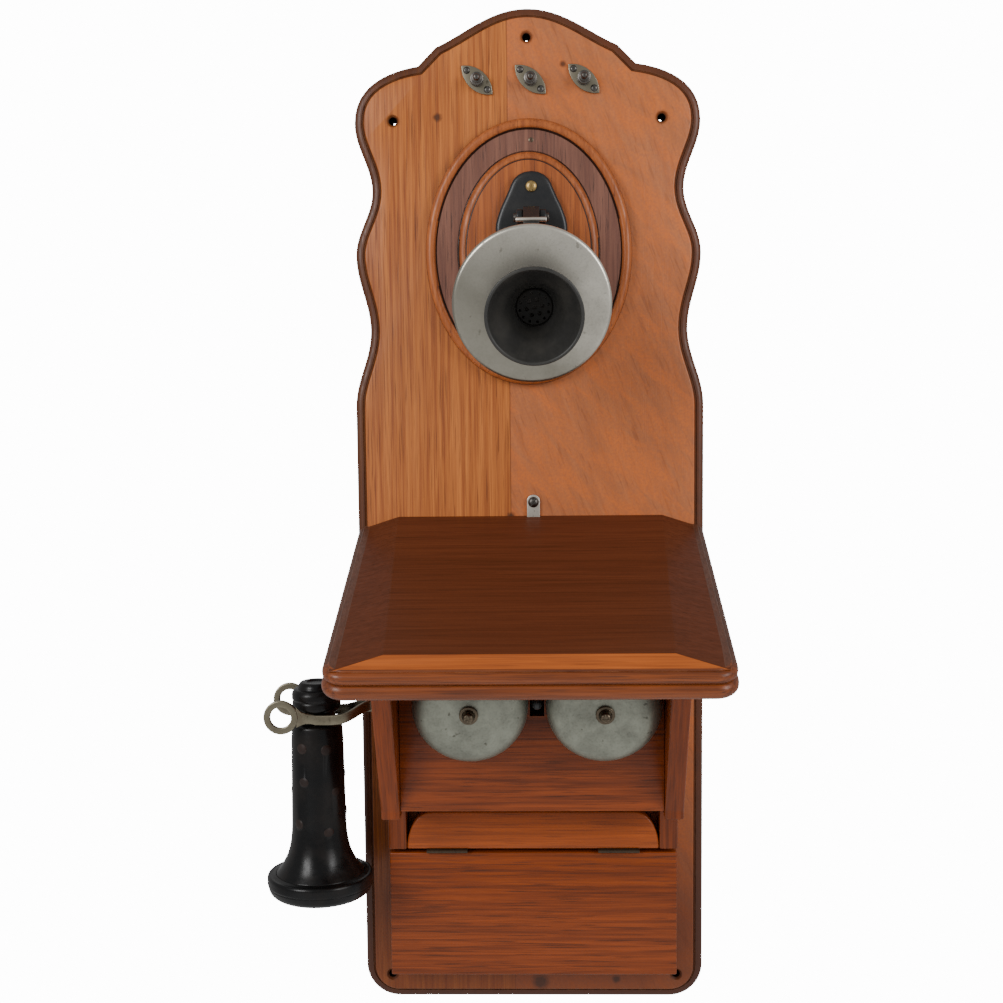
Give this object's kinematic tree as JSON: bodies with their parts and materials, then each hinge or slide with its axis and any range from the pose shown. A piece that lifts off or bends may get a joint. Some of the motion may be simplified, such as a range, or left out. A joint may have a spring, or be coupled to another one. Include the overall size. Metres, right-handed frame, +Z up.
{
  "type": "wall crank telephone",
  "caption": "Antique wooden wall telephone: shaped backboard, tilting transmitter, hook and receiver, sloping desk over a swing-down box with gongs, ringer, magneto and crank.",
  "frame": {"origin": "on the wall plane, in the middle of the backboard's flat back face", "axes": "+Z up, +X to the right seen from the front, the telephone faces -Y, the wall is the plane y = 0"},
  "size_m": [0.3294, 0.227, 0.7304],
  "materials": {
    "oak_board": "satin varnish over quarter-sawn oak",
    "oak_trim": "satin varnish",
    "mahogany_lid": "satin varnish, darker red-brown",
    "dull_nickel": "worn dull nickel plate",
    "gong_metal": "dull grey patina",
    "black_iron": "black japanned, worn",
    "hard_rubber": "polished black hard rubber",
    "brass": "aged",
    "dark_steel": "dark, dull",
    "copper_winding": "silk covered winding"
  },
  "bodies": {
    "wall_board": {"backboard": "oak_board", "oval_plaque": "oak_trim", "terminal_plate_1": "dull_nickel", "terminal_plate_2": "dull_nickel", "terminal_plate_3": "dull_nickel", "terminal_post_1": "dark_steel", "terminal_post_2": "dark_steel", "terminal_post_3": "dark_steel", "transmitter_bracket": "black_iron", "tilt_pin": "dull_nickel", "bracket_screw": "brass", "lower_panel": "oak_trim", "hinge_fixed_left": "brass", "hinge_fixed_right": "brass"},
    "cabinet": {"desk_lid": "mahogany_lid", "cheek_left": "oak_trim", "cheek_right": "oak_trim", "crank_bush": "dull_nickel", "gong_panel": "oak_trim", "cabinet_floor": "oak_trim", "bottom_rail": "oak_trim", "catch_strap": "dull_nickel", "catch_screw": "dark_steel", "hinge_moving_left": "brass", "hinge_moving_right": "brass", "gong_left": "gong_metal", "gong_right": "gong_metal", "gong_post_left": "brass", "gong_post_right": "brass", "gong_nut_left": "brass", "gong_nut_right": "brass", "ringer_frame": "dark_steel", "ringer_coil_left": "copper_winding", "ringer_coil_right": "copper_winding", "hook_bracket": "dark_steel", "switch_block": "hard_rubber", "switch_spring_1": "brass", "switch_spring_2": "brass", "magneto_magnet_1": "dark_steel", "magneto_magnet_2": "dark_steel", "magneto_frame_left": "brass", "magneto_frame_right": "brass", "induction_coil": "copper_winding"},
    "transmitter": {"faceplate": "dull_nickel", "transmitter_cup": "black_iron", "transmitter_diaphragm": "dark_steel", "carbon_button": "brass", "mouthpiece": "hard_rubber", "mouth_grille": "hard_rubber"},
    "clapper": {"ringer_armature_and_clapper": "dark_steel"},
    "hook": {"hook_lever": "dull_nickel"},
    "receiver": {"receiver_shell": "hard_rubber", "receiver_cap": "hard_rubber", "receiver_diaphragm": "dark_steel", "receiver_magnet": "dark_steel"},
    "crank": {"crank_gear": "brass", "crank_shaft": "dark_steel", "crank_arm": "dull_nickel"},
    "knob": {"crank_knob": "hard_rubber"},
    "generator_armature": {"magneto_armature": "dark_steel"}
  },
  "joints": [
    {"name": "cabinet_swing", "type": "hinge", "parent": "wall_board", "child": "cabinet", "pos_m": [0, -0.0413, -0.2429], "axis": [1, 0, 0], "range_deg": [0, 75]},
    {"name": "transmitter_tilt", "type": "hinge", "parent": "wall_board", "child": "transmitter", "pos_m": [0.0027, -0.059, 0.214], "axis": [-1, 0, 0], "range_deg": [-10, 25]},
    {"name": "clapper_swing", "type": "hinge", "parent": "cabinet", "child": "clapper", "pos_m": [0.004, -0.055, -0.147], "axis": [0, -1, 0], "range_deg": [-3.5, 3.5], "stiffness_Nm_per_rad": 0.02},
    {"name": "hook_lift", "type": "hinge", "parent": "cabinet", "child": "hook", "pos_m": [-0.072, -0.061, -0.129], "axis": [0, 1, 0], "range_deg": [0, 10], "stiffness_Nm_per_rad": 0.3, "springref_deg": 14.9},
    {"name": "receiver_off", "type": "slide", "parent": "hook", "child": "receiver", "axis": [-1, 0, 0], "range_m": [0, 0.11]},
    {"name": "crank_spin", "type": "hinge", "parent": "cabinet", "child": "crank", "pos_m": [0.106, -0.061, -0.086], "axis": [1, 0, 0], "continuous": true},
    {"name": "knob_spin", "type": "hinge", "parent": "crank", "child": "knob", "pos_m": [0.12, -0.08851, -0.10598], "axis": [1, 0, 0], "continuous": true},
    {"name": "armature_spin", "type": "hinge", "parent": "cabinet", "child": "generator_armature", "pos_m": [0.0552, -0.0475, -0.0979], "axis": [1, 0, 0], "continuous": true}
  ],
  "couplings": [
    {"joint": "armature_spin", "follows": "crank_spin", "ratio": -3.5}
  ]
}
